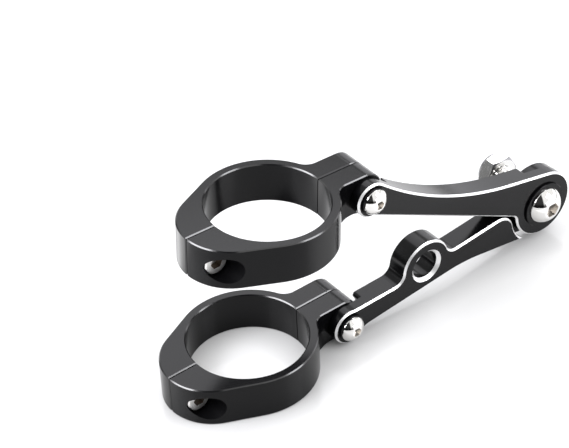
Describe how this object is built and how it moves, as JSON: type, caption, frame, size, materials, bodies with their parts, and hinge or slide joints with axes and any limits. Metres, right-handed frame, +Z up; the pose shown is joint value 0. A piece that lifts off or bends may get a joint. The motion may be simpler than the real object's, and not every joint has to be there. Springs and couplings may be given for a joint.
{
  "type": "headlight mounting bracket",
  "caption": "Motorcycle headlight bracket: split fork clamps carry hinged arms that meet at a bolt for the lamp, with a hole in the lower arm for an indicator stem.",
  "frame": {"origin": "middle of the lower fork clamp's bore, halfway up its wall", "axes": "+Z up along the lower clamp's bore, +X from the fork towards the headlight, bolt heads facing -Y"},
  "size_m": [0.1652, 0.0472, 0.0668],
  "materials": {
    "black_anodised": "satin black anodised, with bright cut chamfers on the arms",
    "polished_bolt": "polished stainless steel",
    "bright_screw": "bright stainless steel",
    "bright_nut": "bright zinc plated steel",
    "black_washer": "gloss black",
    "blue_nylon": "blue nylon"
  },
  "bodies": {
    "lower_clamp": {"lower_clamp_outer_half": "black_anodised", "lower_clamp_inner_half": "black_anodised", "lower_clamp_screw": "bright_screw", "lower_pivot_bolt": "polished_bolt", "lower_pivot_washer": "black_washer"},
    "lower_arm": {"lower_arm": "black_anodised"},
    "upper_arm": {"upper_arm": "black_anodised", "headlight_bolt": "polished_bolt", "headlight_bolt_washer": "black_washer", "lock_nut": "bright_nut", "lock_nut_insert": "blue_nylon"},
    "upper_clamp": {"upper_clamp_outer_half": "black_anodised", "upper_clamp_inner_half": "black_anodised", "upper_clamp_screw": "bright_screw", "upper_pivot_bolt": "polished_bolt", "upper_pivot_washer": "black_washer"}
  },
  "joints": [
    {"name": "lower_pivot", "type": "hinge", "parent": "lower_clamp", "child": "lower_arm", "pos_m": [0.0338, 0, -0.0002], "axis": [0, 1, 0], "range_deg": [-10, 45]},
    {"name": "arm_spread", "type": "hinge", "parent": "lower_arm", "child": "upper_arm", "pos_m": [0.12085, 0, 0.00757], "axis": [0, 1, 0], "range_deg": [0, 60]},
    {"name": "upper_pivot", "type": "hinge", "parent": "upper_arm", "child": "upper_clamp", "pos_m": [0.04473, 0, 0.04822], "axis": [0, 1, 0], "range_deg": [-30, 45]}
  ]
}
